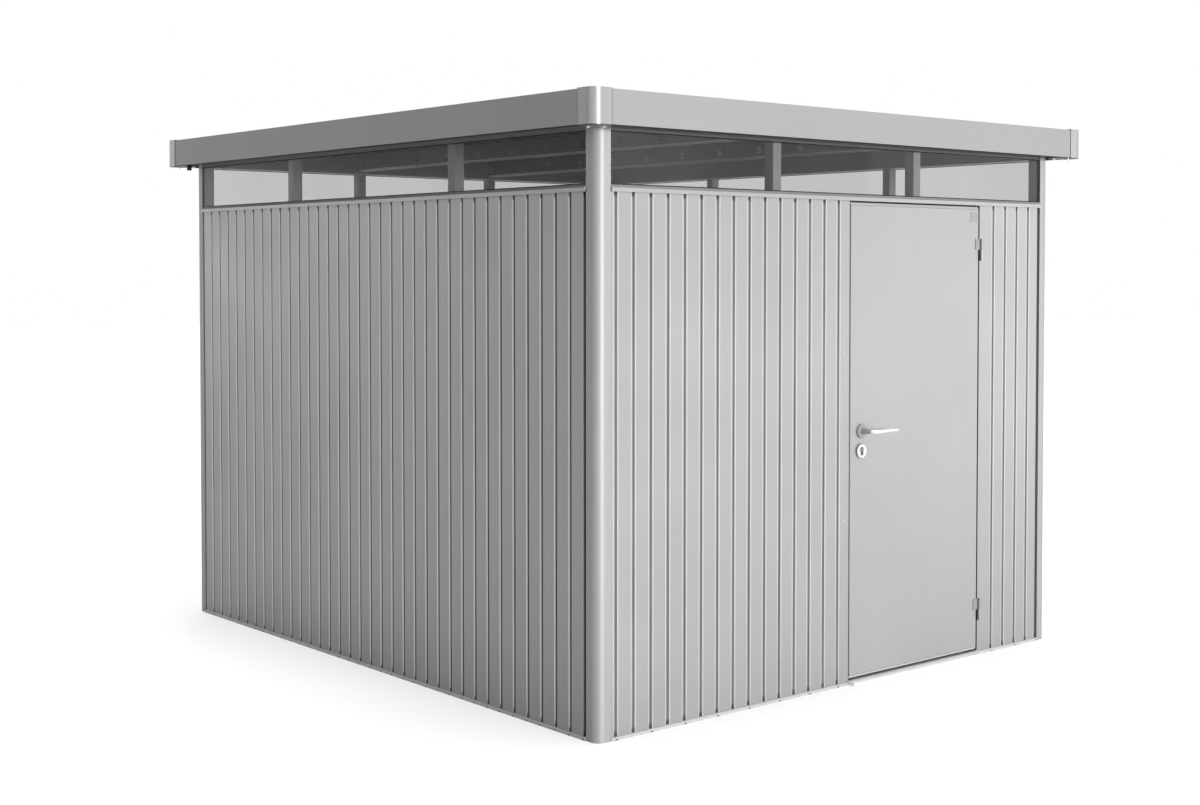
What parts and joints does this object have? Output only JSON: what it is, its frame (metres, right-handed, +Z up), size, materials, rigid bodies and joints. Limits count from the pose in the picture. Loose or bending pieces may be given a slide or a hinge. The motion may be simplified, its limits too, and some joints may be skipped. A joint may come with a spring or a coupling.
{
  "type": "metal storage shed",
  "caption": "Flat-roofed metal garden shed with grooved sheet walls, a band of windows under the roof and a hinged door with a lever handle",
  "frame": {"origin": "on the ground under the middle of the roof", "axes": "+X to the right along the front, +Y to the back, the door in the front faces -Y, +Z up"},
  "size_m": [2.744, 3.13, 2.211],
  "materials": {
    "silver_paint": "satin metallic light grey",
    "trim_aluminium": "satin",
    "corner_caps": "satin",
    "inner_steel": "galvanised grey",
    "glazing": "clear",
    "black_plastic": "matt",
    "handle_metal": "brushed",
    "steel_fittings": "satin"
  },
  "bodies": {
    "shell": {"base_rail_front": "silver_paint", "base_rail_back": "silver_paint", "base_rail_left": "silver_paint", "base_rail_right": "silver_paint", "door_sill": "trim_aluminium", "corner_post_front_left": "trim_aluminium", "corner_post_front_right": "trim_aluminium", "corner_post_rear_left": "trim_aluminium", "corner_post_rear_right": "trim_aluminium", "front_wall_left": "silver_paint", "front_wall_right": "silver_paint", "back_wall": "silver_paint", "left_wall": "silver_paint", "right_wall": "silver_paint", "door_jambs": "silver_paint", "door_head": "silver_paint", "strike_plate": "steel_fittings", "window_rail_front": "silver_paint", "window_rail_back": "silver_paint", "window_rail_left": "silver_paint", "window_rail_right": "silver_paint", "glazing_front": "glazing", "glazing_back": "glazing", "glazing_left": "glazing", "glazing_right": "glazing", "window_posts": "inner_steel", "header_front": "inner_steel", "header_back": "inner_steel", "header_left": "inner_steel", "header_right": "inner_steel", "roof_beams": "inner_steel", "roof_sheet_front": "inner_steel", "roof_sheet_middle": "inner_steel", "roof_sheet_rear": "inner_steel", "fascia_front": "silver_paint", "fascia_back": "silver_paint", "fascia_left": "silver_paint", "fascia_right": "silver_paint", "roof_corner_caps": "corner_caps", "drain_spouts": "black_plastic", "hinge_frame_halves": "steel_fittings"},
    "door": {"door_leaf": "silver_paint", "door_inner_sheet": "silver_paint", "hinge_door_halves": "steel_fittings", "handle_roses": "handle_metal", "lock_plates": "handle_metal", "lock_faceplate": "steel_fittings"},
    "lever": {"lever_outer": "handle_metal", "lever_inner": "handle_metal"}
  },
  "joints": [
    {"name": "door_hinge", "type": "hinge", "parent": "shell", "child": "door", "pos_m": [0.798, -1.475, 1], "axis": [0, 0, 1], "range_deg": [0, 110]},
    {"name": "lever_turn", "type": "hinge", "parent": "door", "child": "lever", "pos_m": [0.061, -1.45, 0.983], "axis": [0, 1, 0], "range_deg": [0, 40], "stiffness_Nm_per_rad": 1.5, "springref_deg": -20.05}
  ]
}
